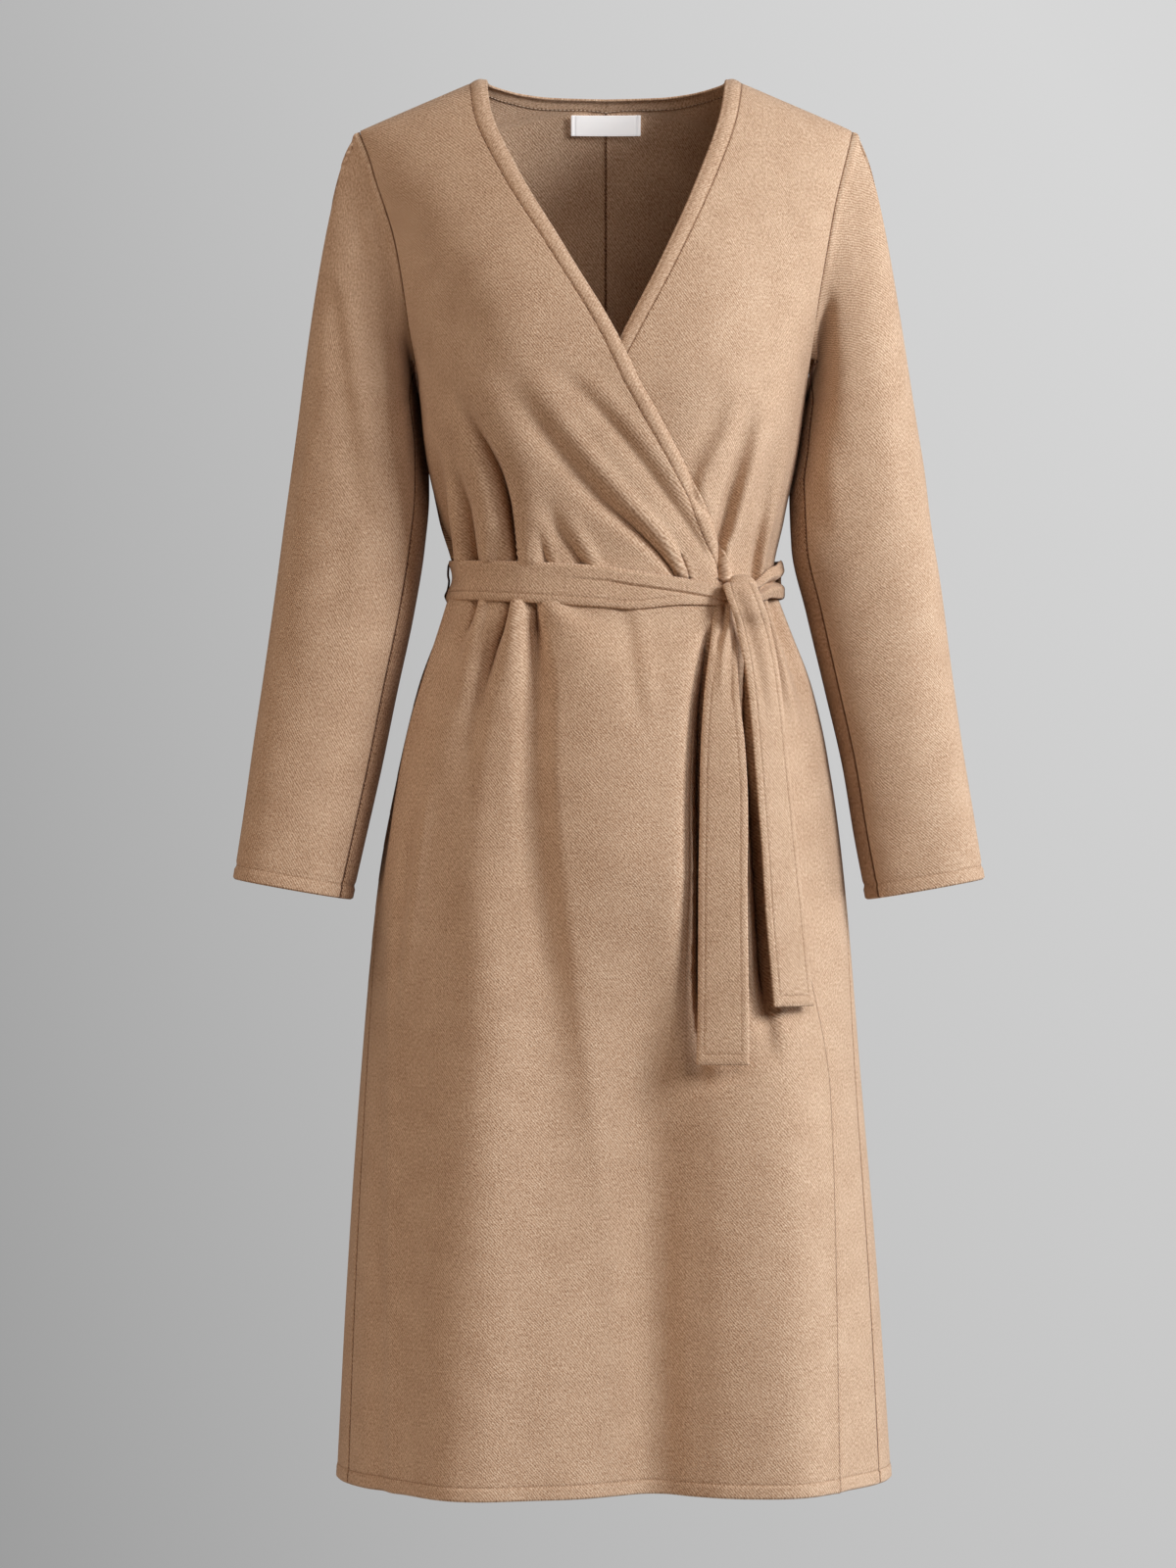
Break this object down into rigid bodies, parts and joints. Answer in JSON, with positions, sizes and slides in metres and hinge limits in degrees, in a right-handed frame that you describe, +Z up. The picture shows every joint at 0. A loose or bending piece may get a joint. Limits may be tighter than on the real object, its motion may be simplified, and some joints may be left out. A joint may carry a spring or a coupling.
{
  "type": "wrap dress",
  "caption": "Long-sleeved wrap dress with a V neck, a tied fabric belt with two hanging ends and a flared midi skirt, hollow as worn",
  "frame": {"origin": "on the centre line between the two shoulder seams, at half the slope of the shoulders", "axes": "+Z up, -Y the front of the dress, +X towards the wearer's left"},
  "size_m": [0.6078, 0.2914, 1.139],
  "materials": {
    "wool": "brushed camel wool twill, matt with a soft nap",
    "label": "plain white woven tape, blank"
  },
  "bodies": {
    "root": {"front_right": "wool", "front_left": "wool", "back_right": "wool", "back_left": "wool", "neck_band_right": "wool", "neck_band_left": "wool", "sleeve_top_right": "wool", "sleeve_under_right": "wool", "sleeve_top_left": "wool", "sleeve_under_left": "wool", "belt_front": "wool", "belt_side": "wool", "belt_back": "wool", "belt_knot": "wool", "belt_tail_long": "wool", "belt_tail_short": "wool", "belt_loop": "wool", "neck_label": "label"}
  },
  "joints": []
}
